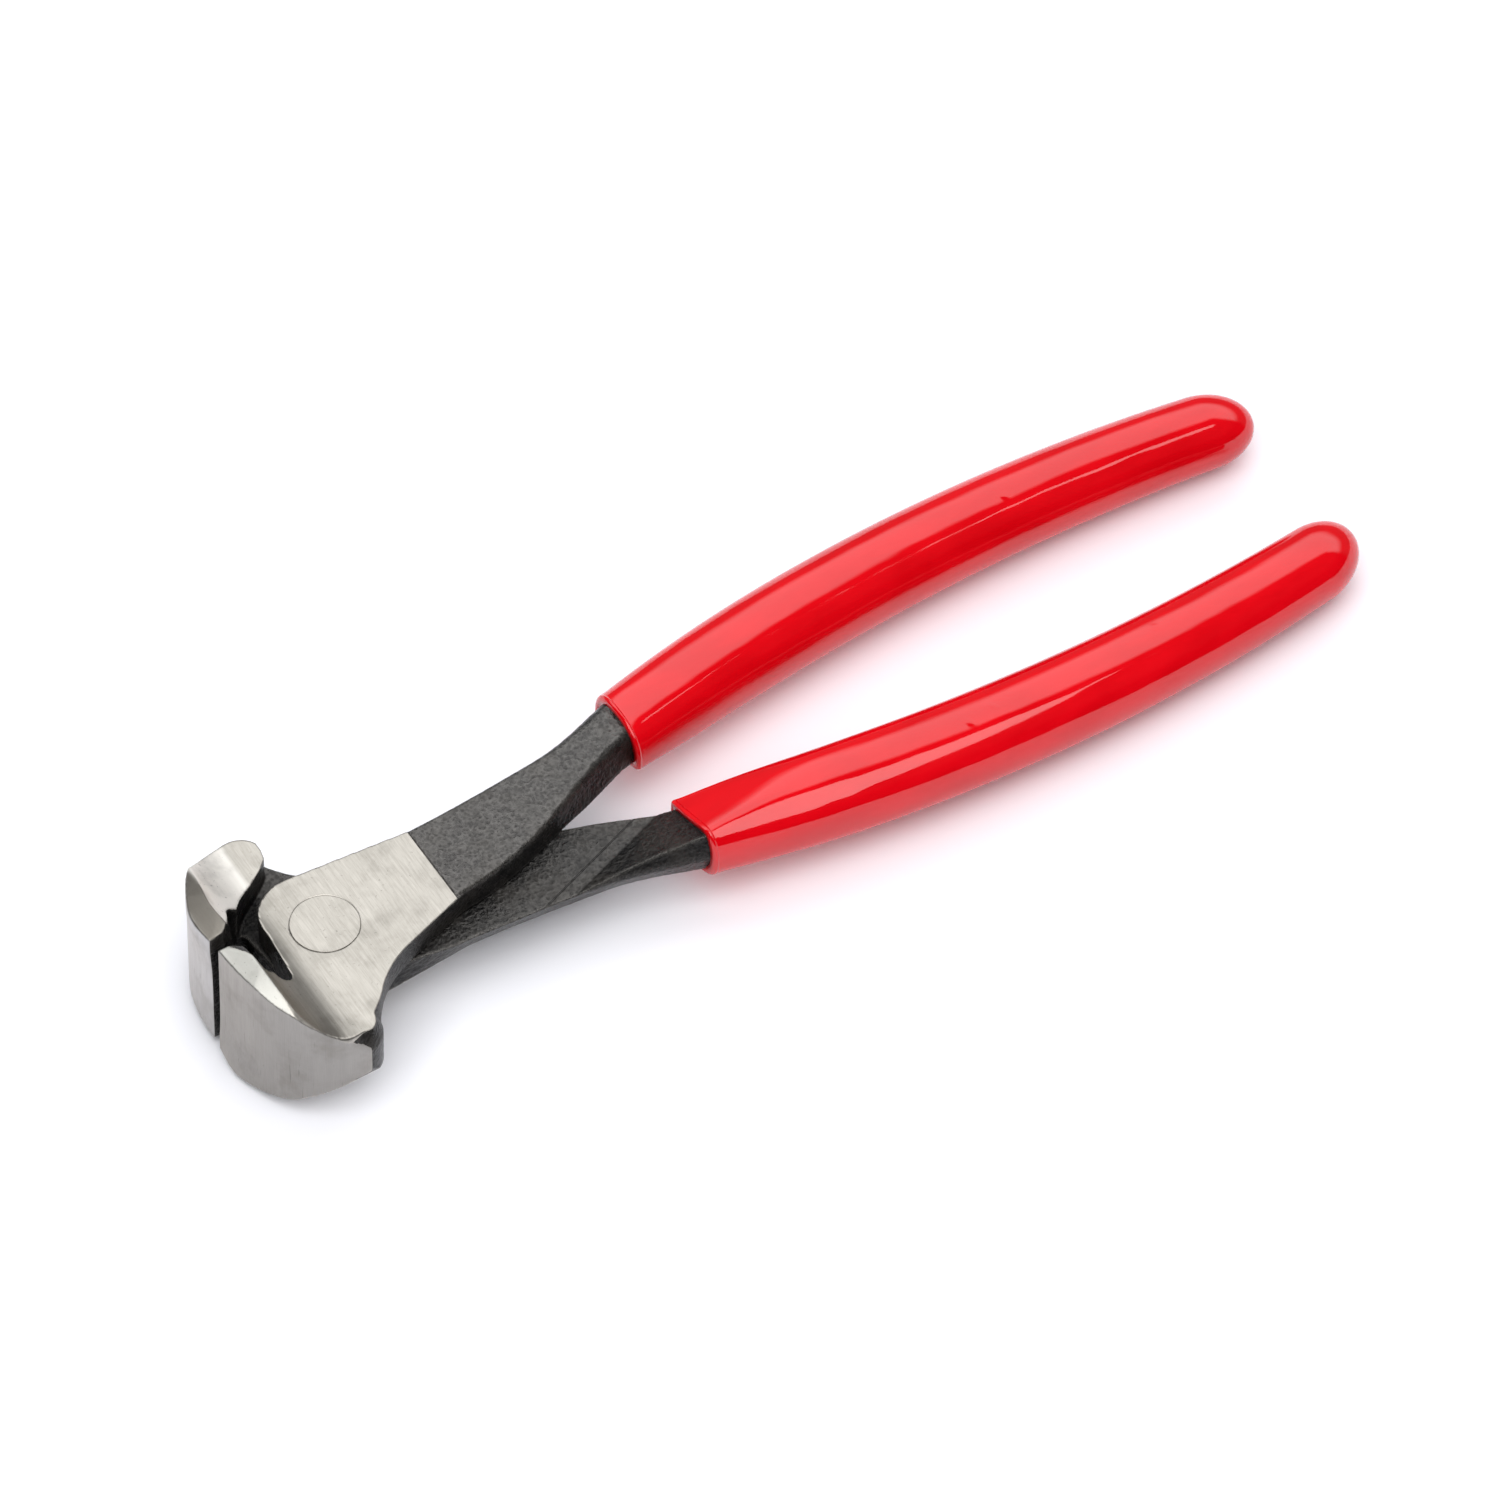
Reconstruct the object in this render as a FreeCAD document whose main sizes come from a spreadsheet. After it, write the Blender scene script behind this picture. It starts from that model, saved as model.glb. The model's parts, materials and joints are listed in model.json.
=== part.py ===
"""End cutting nippers, 200 mm class: two lap-joint levers, one pivot rivet, two dipped grips.

Every sub-part is drawn about the pivot: +X runs from the pivot to the handles, +Z is the
rivet's axis, and z = 0 is the plane where the two levers lap.  One lever carries the jaw on
the -Y side and the handle on the +Y side, with its joint plate above the lap plane.  The other
lever is the same forging turned half a turn about X.  A last placement moves the whole tool so
that its origin is the centre of its footprint, at the height of its lowest point.
"""
import FreeCAD, Part
import math
import os
from FreeCAD import Placement, Rotation, Vector

DIMENSIONS = [
    # the whole tool
    ("overall_length", 205.0),
    # joint
    ("plate_thickness", 4.9),
    ("lap_clearance", 0.04),
    ("plate_end_x", 20.4),
    ("forged_step", 0.25),
    ("recess_radius", 13.8),
    ("recess_side_x", -1.2),
    # rivet
    ("rivet_head_radius", 5.6),
    ("rivet_shank_radius", 4.0),
    ("rivet_head_depth", 1.6),
    ("rivet_clearance", 0.03),
    # jaw
    ("cutting_edge_x", -19.8),
    ("cutting_edge_y", -0.96),
    ("jaw_half_width", 13.4),
    ("cutting_edge_half_width", 12.9),
    ("crest_x", -16.0),
    ("hollow_radius", 12.8),
    ("jaw_middle_y", -6.0),
    ("jaw_reach", 17.6),
    ("lower_jaw_trim", 1.5),
    # shank and tang
    ("tang_end_x", 175.0),
    ("tang_half_width", 5.7),
    ("tang_top_half_width", 4.0),
    ("relief_outer_x", 35.3),
    ("relief_outer_y", 13.6),
    ("relief_turn", -20.4),
    ("relief_slope", 22.0),
    # dipped grips
    ("collar_x", 60.6),
    ("bow_x", 133.0),
    ("bow_y", 19.1),
    ("bow_radius", 345.0),
    ("collar_half_width", 6.7),
    ("grip_half_width", 7.5),
    ("grip_end_half_width", 6.9),
    ("grip_flatness", 0.93),
    ("dome_x", 176.6),
]

doc = FreeCAD.newDocument("end_nippers")
sheet = doc.addObject("Spreadsheet::Sheet", "Dimensions")
for row, (alias, size) in enumerate(DIMENSIONS, start=1):
    sheet.set(f"A{row}", alias)
    sheet.set(f"B{row}", str(size))
    sheet.setAlias(f"B{row}", alias)
doc.recompute()


def dim(alias):
    """The value of one driving dimension."""
    return float(sheet.get(alias))


def half_turn():
    return Rotation(Vector(1, 0, 0), 180)


def plane(body, role):
    return [item for item in body.Origin.OriginFeatures if item.Role == role][0]


def new_body(label):
    body = doc.addObject("PartDesign::Body", label)
    body.Label = label
    return body


def new_sketch(body, name, role, geometry, offset=None):
    """A sketch on one of the body's own origin planes."""
    sketch = body.newObject("Sketcher::SketchObject", f"{body.Name}_{name}")
    sketch.AttachmentSupport = (plane(body, role), [""])
    sketch.MapMode = "FlatFace"
    if offset is not None:
        sketch.AttachmentOffset = offset
    sketch.addGeometry(geometry, False)
    return sketch


def feature(body, kind, name, profile):
    item = body.newObject(f"PartDesign::{kind}", f"{body.Name}_{name}")
    item.Profile = profile
    return item


def line(start, end):
    return Part.LineSegment(Vector(*start, 0), Vector(*end, 0))


def arc(start, middle, end):
    return Part.Arc(Vector(*start, 0), Vector(*middle, 0), Vector(*end, 0))


def polyline(points):
    return [line(start, end) for start, end in zip(points, points[1:])]


def polygon(points):
    return polyline(points + points[:1])


def curve(points):
    spline = Part.BSplineCurve()
    spline.interpolate([Vector(*point, 0) for point in points])
    return spline


# ---------------------------------------------------------------- lever: head

def plate_side(x):
    """y of the joint plate's outer side, at its top and bottom faces."""
    return 10.8 - 0.0794 * (x + 1.2)


def head_outline(trim):
    """Plan of jaw, ear, neck and joint plate; trim is what hand grinding took off the ear."""
    edge = (dim("cutting_edge_x"), dim("cutting_edge_y"))
    ear_end = (-5.2, -23.2 + 0.9 * trim)
    ear_corner = (-2.5, -21.9 + 0.6 * trim)
    ear_back = (-1.0, -19.0)
    neck_end = (9.5, -10.2)
    plate_near = (24.0, -5.3)
    plate_far = (24.0, plate_side(24.0))
    nose_far = (-1.2, plate_side(-1.2))
    nose_near = (-9.2, 2.0)
    notch_plate = (-10.1, -6.4)
    notch_jaw = (-12.9, -6.6)
    bevel_back = (-17.2, -1.15)
    outer_face = [
        edge,
        (-19.0, -9.0),
        (-17.1 + 0.3 * trim, -15.0 + 0.4 * trim),
        (-12.3, -20.3 + trim),
        ear_end,
    ]
    return [
        curve(outer_face),
        arc(ear_end, ear_corner, ear_back),
        arc(ear_back, (2.9, -14.0), neck_end),
        line(neck_end, plate_near),
        line(plate_near, plate_far),
        line(plate_far, nose_far),
        arc(nose_far, (-6.4, 9.0), nose_near),
        line(nose_near, notch_plate),
        arc(notch_plate, (-11.6, -8.0), notch_jaw),
        arc(notch_jaw, (-14.7, -3.4), bevel_back),
        line(bevel_back, edge),
    ]


def add_head(body, trim):
    outline = new_sketch(body, "head_plan", "XY_Plane", head_outline(trim))
    pad = feature(body, "Pad", "head", outline)
    pad.Midplane = True
    pad.setExpression("Length", "2 * Dimensions.jaw_half_width")


def add_plate_flare(body):
    """Towards the handle, the plate's outer side swells out to the forging's parting plane."""
    high = dim("plate_thickness")
    inner = -2.0
    flares = [(4.0, 0.0), (10.5, 0.3), (15.5, 1.5), (dim("plate_end_x"), 2.2)]
    sketches = []
    for index, (x, flare) in enumerate(flares):
        side = plate_side(x)
        section = [(inner, -high), (side, -high), (side + flare, 0), (side, high), (inner, high)]
        offset = Placement(Vector(0, 0, x), Rotation())
        sketches.append(new_sketch(body, f"flare_section_{index}", "YZ_Plane", polygon(section), offset))
    loft(body, "AdditiveLoft", "plate_flare", sketches)


def hollow_profile(side):
    """Side view of what the grinding wheel takes off one face: flat joint, hollow, crest."""
    thickness = dim("plate_thickness")
    radius = dim("hollow_radius")
    crest = (dim("crest_x"), dim("jaw_half_width"))
    rise = crest[1] - thickness
    run = math.sqrt(radius**2 - (radius - rise) ** 2)
    flat_end = (crest[0] + run, thickness)
    half_angle = 0.5 * math.acos(1 - rise / radius)
    middle = (
        flat_end[0] - radius * math.sin(half_angle),
        thickness + radius * (1 - math.cos(half_angle)),
    )
    front = dim("cutting_edge_x")
    slope = (crest[1] - dim("cutting_edge_half_width")) / (crest[0] - front)
    reach = 3.0
    tip = (front - reach, dim("cutting_edge_half_width") - slope * reach)
    top = crest[1] + reach
    back = (30.0, thickness)

    def place(point):
        return (point[0], side * point[1])

    flat = line(place(back), place(flat_end))
    hollow = arc(place(flat_end), place(middle), place(crest))
    rest = [crest, tip, (tip[0], top), (back[0], top), back]
    return [flat, hollow] + polyline([place(point) for point in rest])


def grind_faces(body):
    for name, side in (("upper_hollow", 1), ("lower_hollow", -1)):
        profile = new_sketch(body, name, "XZ_Plane", hollow_profile(side))
        cut = feature(body, "Pocket", f"cut_{name}", profile)
        cut.Type = "ThroughAll"
        cut.Midplane = True


def round_jaw(body):
    """Seen along the tool, the jaw is an oval from the cutting edge to the end of the ear."""
    centre = dim("jaw_middle_y")
    reach = dim("jaw_reach")
    height = dim("jaw_half_width") + 0.05
    margin = 6.0
    inner = 1.0
    outer = centre - reach - margin
    top = height + margin
    start = math.acos((inner - centre) / reach)
    oval = Part.ArcOfEllipse(Part.Ellipse(Vector(centre, 0, 0), reach, height), start, 2 * math.pi - start)
    corner = height * math.sin(start)
    box = [(inner, corner), (inner, top), (outer, top), (outer, -top), (inner, -top), (inner, -corner)]
    profile = new_sketch(body, "jaw_oval", "YZ_Plane", [oval] + polyline(box))
    cut = feature(body, "Pocket", "cut_jaw_oval", profile)
    cut.Type = "ThroughAll"
    cut.Midplane = True


# ------------------------------------------------------- lever: shank and tang

def bow(x):
    """Distance of the handle's centre line from the tool's centre line."""
    return dim("bow_y") - (x - dim("bow_x")) ** 2 / (2 * dim("bow_radius"))


def rounded_polygon(corners, radii):
    """A closed outline whose corners are arcs of the given radii."""
    arcs = []
    for index, (corner, radius) in enumerate(zip(corners, radii)):
        here = Vector(*corner, 0)
        back = (Vector(*corners[index - 1], 0) - here).normalize()
        ahead = (Vector(*corners[(index + 1) % len(corners)], 0) - here).normalize()
        half_angle = 0.5 * back.getAngle(ahead)
        reach = radius / math.tan(half_angle)
        depth = radius / math.sin(half_angle) - radius
        middle = here + (back + ahead).normalize() * depth
        arcs.append([here + back * reach, middle, here + ahead * reach])
    outline = []
    for index, (start, middle, end) in enumerate(arcs):
        outline.append(Part.Arc(start, middle, end))
        outline.append(Part.LineSegment(end, arcs[(index + 1) % len(arcs)][0]))
    return outline


def forged_section(inner_top, outer_top, inner_middle, outer_middle, radius, middle_radius):
    """Section of the forging: flat top and bottom, sides drafted out to the parting plane."""
    high = dim("plate_thickness") + dim("forged_step")
    corners = [
        (inner_top, -high), (outer_top, -high), (outer_middle, 0),
        (outer_top, high), (inner_top, high), (inner_middle, 0),
    ]
    side = [radius, radius, middle_radius]
    return rounded_polygon(corners, side + side)


def handle_stations():
    """x of each section of the forged handle, and the sizes that forged_section takes."""
    middle = dim("tang_half_width")
    top = dim("tang_top_half_width")
    collar = dim("collar_x")
    end = dim("tang_end_x")
    stations = [
        (dim("plate_end_x"), -6.2, 8.9, -6.4, 11.3, 0.7, 1.0),
        (26.0, -5.4, 9.2, -5.6, 11.7, 0.7, 1.0),
        (32.0, -4.1, 9.6, -4.3, 12.1, 0.8, 1.0),
        (43.0, 0.2, 10.6, -0.4, 13.1, 1.0, 1.5),
        (52.0, 4.5, 12.3, 2.6, 15.0, 1.8, 2.0),
    ]
    spans = 6
    for index in range(spans + 1):
        x = collar + (end - collar) * index / spans
        y = bow(x)
        stations.append((x, y - top, y + top, y - middle, y + middle, 2.4, 3.0))
    return stations


def handle_sketches(body):
    sketches = []
    for index, (x, *sizes) in enumerate(handle_stations()):
        outline = forged_section(*sizes)
        offset = Placement(Vector(0, 0, x), Rotation())
        sketches.append(new_sketch(body, f"handle_section_{index}", "YZ_Plane", outline, offset))
    return sketches


def loft(body, kind, name, sketches):
    item = feature(body, kind, name, sketches[0])
    item.Sections = sketches[1:]
    item.Ruled = False


# ---------------------------------------------------------------- lever: joint

def recess_outline():
    """Plan of the room left under the plate for the other lever."""
    radius = dim("recess_radius")
    side = dim("recess_side_x")
    arc_end_x = -6.5
    arc_end_y = math.sqrt(radius**2 - arc_end_x**2)
    ear_notch = [(-3.1, -14.6), (side - 0.4, -16.0), (side, -17.7)]
    far = 60.0
    beyond_outer, beyond_inner = 40.0, 90.0
    turn = math.radians(dim("relief_turn"))
    start = Vector(dim("relief_outer_x"), dim("relief_outer_y"), 0)
    along = Vector(math.cos(turn), math.sin(turn), 0)
    outer = start - along * beyond_outer
    inner = start + along * beyond_inner
    return [arc((arc_end_x, -arc_end_y), (-radius, 0), (arc_end_x, arc_end_y))] + polyline([
        (arc_end_x, arc_end_y),
        (arc_end_x, far),
        (outer.x, far),
        (outer.x, outer.y),
        (inner.x, inner.y),
        (inner.x, -far),
        (side, -far),
        *reversed(ear_notch),
        (arc_end_x, -arc_end_y),
    ])


def cut_recess(body):
    outline = new_sketch(body, "recess_plan", "XY_Plane", recess_outline())
    outline.setExpression("AttachmentOffset.Base.z", "Dimensions.lap_clearance / 2")
    cut = feature(body, "Pocket", "cut_recess", outline)
    cut.Type = "ThroughAll"


def cut_relief(body):
    """The facet that falls from the end of the lap plane to the full handle."""
    depth = 12.0
    across_handle = 80.0
    reach = depth / math.tan(math.radians(dim("relief_slope")))
    wedge = polygon([(0, 0), (0, -depth), (reach, -depth)])
    across = Rotation(Vector(0, 1, 0), dim("relief_turn") + 90)
    start = Vector(dim("relief_outer_x"), 0, -dim("relief_outer_y"))
    profile = new_sketch(body, "relief_wedge", "XZ_Plane", wedge, Placement(start, across))
    cut = feature(body, "Pocket", "cut_relief", profile)
    cut.Length = across_handle
    cut.Midplane = True


def rivet_profile(clearance, beyond):
    """Half section of the rivet, or of its hole when clearance is above zero."""
    top = dim("plate_thickness")
    waist = top - dim("rivet_head_depth")
    shank = dim("rivet_shank_radius") + clearance
    head = dim("rivet_head_radius") + clearance
    reach = top + beyond
    return polygon([
        (0, reach), (head, reach), (head, top), (shank, waist),
        (shank, -waist), (head, -top), (head, -reach), (0, -reach),
    ])


def cut_rivet_hole(body, clearance):
    profile = new_sketch(body, "rivet_hole", "XZ_Plane", rivet_profile(clearance, 1.0))
    groove = feature(body, "Groove", "cut_rivet_hole", profile)
    groove.ReferenceAxis = (profile, ["V_Axis"])
    groove.Angle = 360


def build_lever(label, hole_clearance, trim):
    body = new_body(label)
    add_head(body, trim)
    grind_faces(body)
    round_jaw(body)
    add_plate_flare(body)
    loft(body, "AdditiveLoft", "handle", handle_sketches(body))
    cut_recess(body)
    cut_relief(body)
    cut_rivet_hole(body, hole_clearance)
    return body


# -------------------------------------------------------------- rivet and grips

def build_rivet(label):
    body = new_body(label)
    top = dim("plate_thickness")
    waist = top - dim("rivet_head_depth")
    shank = dim("rivet_shank_radius")
    head = dim("rivet_head_radius")
    section = polygon([(0, top), (head, top), (shank, waist), (shank, -waist), (head, -top), (0, -top)])
    profile = new_sketch(body, "section", "XZ_Plane", section)
    turned = feature(body, "Revolution", "turned", profile)
    turned.ReferenceAxis = (profile, ["V_Axis"])
    turned.Angle = 360
    return body


def grip_half_width(x):
    """Half width of the grip: narrow at the collar, fullest a third along, slimmer at the end."""
    collar = dim("collar_x")
    end = dim("dome_x")
    full = collar + 0.3 * (end - collar)
    if x < full:
        lost = dim("grip_half_width") - dim("collar_half_width")
        return dim("grip_half_width") - lost * ((full - x) / (full - collar)) ** 2
    lost = dim("grip_half_width") - dim("grip_end_half_width")
    return dim("grip_half_width") - lost * ((x - full) / (end - full)) ** 2


def oval_sketch(body, name, x, half_width):
    high = half_width * dim("grip_flatness")
    outline = [Part.Ellipse(Vector(bow(x), 0, 0), half_width, high)]
    return new_sketch(body, name, "YZ_Plane", outline, Placement(Vector(0, 0, x), Rotation()))


def sleeve_sketches(body):
    collar = dim("collar_x")
    end = dim("dome_x")
    spans = 6
    sketches = []
    for index in range(spans + 1):
        x = collar + (end - collar) * index / spans
        sketches.append(oval_sketch(body, f"sleeve_section_{index}", x, grip_half_width(x)))
    return sketches


def dome_sketches(body):
    """Sections of the rounded end, each smaller as a cosine while x grows as a sine."""
    start = dim("dome_x")
    length = dim("overall_length") + dim("cutting_edge_x") - start
    last = math.radians(80)
    spans = 5
    sketches = []
    for index in range(spans + 1):
        angle = last * index / spans
        x = start + length * math.sin(angle) / math.sin(last)
        half_width = dim("grip_end_half_width") * math.cos(angle)
        sketches.append(oval_sketch(body, f"dome_section_{index}", x, half_width))
    return sketches


def build_tang_space(label):
    """The space that the lever's tang takes up inside the grip, its facet included."""
    body = new_body(label)
    loft(body, "AdditiveLoft", "tang", handle_sketches(body))
    cut_relief(body)
    return body


def build_grip(label):
    body = new_body(label)
    loft(body, "AdditiveLoft", "sleeve", sleeve_sketches(body))
    loft(body, "AdditiveLoft", "dome", dome_sketches(body))
    socket = body.newObject("PartDesign::Boolean", f"{label}_socket")
    socket.Type = "Cut"
    socket.setObjects([build_tang_space(f"{label}_tang_space")])
    return body


# -------------------------------------------------------------------- assembly

def set_in_place(body, rotation):
    """Move a sub-part from the pivot's frame to the tool's own origin."""
    middle = dim("cutting_edge_x") + dim("overall_length") / 2
    body.Placement = Placement(Vector(-middle, 0, dim("jaw_half_width")), rotation)


upright = Rotation()
rivet = build_rivet("pivot_rivet")
upper_lever = build_lever("upper_lever", dim("rivet_clearance"), 0.0)
lower_lever = build_lever("lower_lever", 0.0, dim("lower_jaw_trim"))
upper_grip = build_grip("upper_grip")
lower_grip = build_grip("lower_grip")
doc.recompute()

for body in (rivet, upper_lever, upper_grip):
    set_in_place(body, upright)
for body in (lower_lever, lower_grip):
    set_in_place(body, half_turn())
doc.recompute()

sub_parts = [upper_lever, lower_lever, rivet, upper_grip, lower_grip]
for item in doc.Objects:
    if "Invalid" in item.State or "Error" in item.State:
        raise RuntimeError(f"{item.Name} failed to build: {item.State}")
for body in sub_parts:
    if body.Shape.isNull() or not body.Shape.isValid() or len(body.Shape.Solids) != 1:
        raise RuntimeError(f"{body.Label} is not one valid solid")
    print(f"{body.Label}: {body.Shape.Volume:.0f} mm3, {body.Shape.BoundBox}")

os.makedirs("parts", exist_ok=True)
for body in sub_parts:
    body.Shape.exportStep(f"parts/{body.Label}.step")
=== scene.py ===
import json
import math

import bmesh
import bpy
import numpy as np
from mathutils import Matrix, Vector, noise
from mathutils.bvhtree import BVHTree


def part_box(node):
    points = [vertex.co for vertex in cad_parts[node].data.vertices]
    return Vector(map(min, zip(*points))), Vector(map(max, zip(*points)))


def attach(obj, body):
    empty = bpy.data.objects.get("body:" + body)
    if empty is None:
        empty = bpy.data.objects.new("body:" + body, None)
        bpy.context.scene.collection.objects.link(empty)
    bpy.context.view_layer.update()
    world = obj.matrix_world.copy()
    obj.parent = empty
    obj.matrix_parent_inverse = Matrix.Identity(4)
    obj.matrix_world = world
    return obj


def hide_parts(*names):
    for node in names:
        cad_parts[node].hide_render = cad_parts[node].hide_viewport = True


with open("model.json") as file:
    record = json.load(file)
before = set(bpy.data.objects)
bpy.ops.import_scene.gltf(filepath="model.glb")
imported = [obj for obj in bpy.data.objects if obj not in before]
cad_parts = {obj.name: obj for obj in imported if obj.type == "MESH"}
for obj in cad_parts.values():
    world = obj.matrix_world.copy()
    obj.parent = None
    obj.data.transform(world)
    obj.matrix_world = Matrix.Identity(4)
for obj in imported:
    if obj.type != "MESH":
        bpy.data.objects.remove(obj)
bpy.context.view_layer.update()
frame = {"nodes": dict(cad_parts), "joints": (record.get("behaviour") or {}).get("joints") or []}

# End cutting nippers: two forged levers ground bright at the jaws and the joint, a flush rivet,
# and two grips of dipped red vinyl.

# ------------------------------------------------------------------ the frame
# Shapes are worked out in millimetres about the pivot: +X runs to the handles and z = 0 is the
# plane where the levers lap.  The lower half is the upper half turned half a turn about X, so
# both are drawn as the upper one, and a side of -1 turns y and z over.

MM = 0.001
PIVOT = Vector(frame["joints"][0]["pos_m"])
UPPER, LOWER = 1, -1


def lengths(corner):
    """A corner of a frame box, in millimetres about the pivot."""
    return (corner - PIVOT) / MM


lever_high = lengths(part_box("upper_lever")[1])
grip_low, grip_high = (lengths(corner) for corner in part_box("upper_grip"))
rivet_high = lengths(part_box("pivot_rivet")[1])

JAW_HALF_WIDTH = lever_high.z
JOINT_FACE = rivet_high.z
RIVET_RADIUS = rivet_high.x
COLLAR_X = grip_low.x
GRIP_END_X = grip_high.x
TANG_END_X = lever_high.x
GROUND_END_X = 20.4
GRIP_FLATNESS = 0.93
GRIP_HALF_WIDTH = grip_high.z / GRIP_FLATNESS

# The facet between the lap face and the full handle, on the side away from the joint plate, and
# the line scribed just short of it.
FACET_START = (35.3, 13.6)
FACET_TURN = math.radians(-20.4)
FACET_SLOPE = math.radians(22.0)
SCRIBED_START = (34.5, 11.4)


def to_world(points, side):
    """Points about the pivot, in millimetres, to the row frame."""
    turned = np.array(points, float) * (1, side, side) * MM
    return turned + np.array(PIVOT)


def to_pivot(points, side):
    """Points of the row frame to millimetres about the pivot."""
    return (np.array(points, float) - np.array(PIVOT)) / MM * (1, side, side)


def facet_height(points):
    """Height of the facet's plane at each point; the plane falls away towards the grips."""
    along = points[:, 0] - FACET_START[0]
    across = points[:, 1] - FACET_START[1]
    past_start = across * math.cos(FACET_TURN) - along * math.sin(FACET_TURN)
    return -past_start * math.tan(FACET_SLOPE)


# ------------------------------------------------------------------ mesh tools

AROUND = 128


def coordinates(mesh):
    values = np.empty(len(mesh.vertices) * 3)
    mesh.vertices.foreach_get("co", values)
    return values.reshape(-1, 3)


def normals(mesh):
    values = np.empty(len(mesh.vertices) * 3)
    mesh.vertex_normals.foreach_get("vector", values)
    return values.reshape(-1, 3)


def set_coordinates(mesh, points):
    mesh.vertices.foreach_set("co", np.ascontiguousarray(points, np.float32).ravel())
    mesh.update()


def neighbour_mean(mesh, values, rounds):
    """Each vertex's value moved half way to the mean of its neighbours', some times over."""
    ends = np.empty(len(mesh.edges) * 2, np.int64)
    mesh.edges.foreach_get("vertices", ends)
    first, second = ends.reshape(-1, 2).T
    count = len(mesh.vertices)
    degree = np.bincount(first, minlength=count) + np.bincount(second, minlength=count)
    flat = values.reshape(count, -1).astype(float)
    for _ in range(rounds):
        mean = np.empty_like(flat)
        for column in range(flat.shape[1]):
            mean[:, column] = np.bincount(first, flat[second, column], count)
            mean[:, column] += np.bincount(second, flat[first, column], count)
        flat = flat + 0.5 * (mean / degree[:, None] - flat)
    return flat.reshape(values.shape)


def add_attribute(mesh, name, values):
    layer = mesh.attributes.new(name, "FLOAT", "POINT")
    layer.data.foreach_set("value", values.astype(np.float32))


def noise_field(points, size, octaves=2):
    """Smooth noise from about -1 to 1 with features of the given size in millimetres."""
    scaled = [Vector(point) / size for point in points]
    return np.array([noise.fractal(point, 1.0, 2.0, octaves) for point in scaled])


def ramp(values, low, high):
    """0 below low, 1 above high, smooth between."""
    share = np.clip((values - low) / (high - low), 0, 1)
    return share * share * (3 - 2 * share)


def join_rings(build, first, second):
    """A band of faces between two rings of vertices."""
    for step in range(AROUND):
        after = (step + 1) % AROUND
        build.faces.new((first[step], first[after], second[after], second[step]))


def to_mesh(build, name, material):
    mesh = bpy.data.meshes.new(name)
    build.to_mesh(mesh)
    build.free()
    mesh.materials.append(material)
    return mesh


def new_piece(name, mesh, body, replaced):
    """Shows the mesh as a piece that rides on a body and stands for a CAD node."""
    piece = bpy.data.objects.new(name, mesh)
    bpy.context.scene.collection.objects.link(piece)
    mesh.polygons.foreach_set("use_smooth", np.ones(len(mesh.polygons), bool))
    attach(piece, body)
    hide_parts(replaced)


# ------------------------------------------------------------------ levers

VOXEL = 0.24
WELD = 1e-7
HIDDEN_CUT_X = COLLAR_X + 6.0

# The jaw: where the crest of its rim lies, how far grinding leaves it proud of the drawing, the
# height above which a ground face belongs to the rim, and the end of the ear.
CREST_X = -15.6
CREST_RISE = 0.35
RIM_HEIGHT = 9.0
EAR_END_X = -5.2

# How many times each share of finish is smoothed, so that its border is sharp or soft.
MASK_ROUNDS = {"ground": 1, "outer": 1, "bevel": 3, "hollow": 6, "flank_shade": 2}


def closed_part(source, keep_head):
    """The lever in front of, or behind, a plane that the grip hides, as a closed mesh."""
    part = bmesh.new()
    part.from_mesh(source.data)
    bmesh.ops.remove_doubles(part, verts=part.verts, dist=WELD)
    plane = to_world([(HIDDEN_CUT_X, 0, 0)], UPPER)[0]
    everything = part.verts[:] + part.edges[:] + part.faces[:]
    cut = bmesh.ops.bisect_plane(
        part, geom=everything, plane_co=plane, plane_no=(1, 0, 0),
        clear_outer=keep_head, clear_inner=not keep_head,
    )
    rim = [item for item in cut["geom_cut"] if isinstance(item, bmesh.types.BMEdge)]
    bmesh.ops.triangle_fill(part, edges=rim, use_beauty=True)
    bmesh.ops.recalc_face_normals(part, faces=part.faces)
    return part


def remesh(part):
    """The closed mesh as an even grid of small quads."""
    mesh = bpy.data.meshes.new("coarse")
    part.to_mesh(mesh)
    coarse = bpy.data.objects.new("coarse", mesh)
    bpy.context.scene.collection.objects.link(coarse)
    grid = coarse.modifiers.new("grid", "REMESH")
    grid.mode = "VOXEL"
    grid.voxel_size = VOXEL * MM
    graph = bpy.context.evaluated_depsgraph_get()
    fine = bpy.data.meshes.new_from_object(coarse.evaluated_get(graph))
    bpy.data.objects.remove(coarse)
    bpy.data.meshes.remove(mesh)
    return fine


def project(mesh, part):
    """Moves each vertex onto the part's surface; returns the surface's own normal there."""
    tree = BVHTree.FromBMesh(part)
    points, faces = [], []
    for vertex in mesh.vertices:
        place, normal, _, _ = tree.find_nearest(vertex.co)
        points.append(place)
        faces.append(normal)
    set_coordinates(mesh, np.array(points))
    return np.array(faces)


def inside_tip(places):
    """Distance inside the line that brings the rim to a point at the edge, on the plate's side."""
    x, y, z = places.T
    inside = x + 18.8 + 0.55 * y
    return np.clip(inside, 0, 3) * ramp(y, -7.0, -5.0) * (z > 0)


def fuller_corner(places):
    """How far each point moves where grinding leaves the jaw's free corner fuller."""
    x, y, z = places.T
    near = np.exp(-((y + 6.0) / 4.5) ** 2 - ((z + 11.0) / 5.0) ** 2) * (x < -12)
    return near[:, None] * (-1.0, -0.2, -0.6)


def rim_rise(places):
    """How far the rim rises to its crest, falls in a bevel to the edge, and drops at its tip."""
    before_crest = np.clip(CREST_X - places[:, 0], -1.5, 3.4)
    crest = CREST_RISE * ramp(before_crest, -1.5, 0.0)
    bevel = 0.2 * np.clip(before_crest, 0, None)
    return crest - bevel - 0.5 * inside_tip(places)


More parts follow.
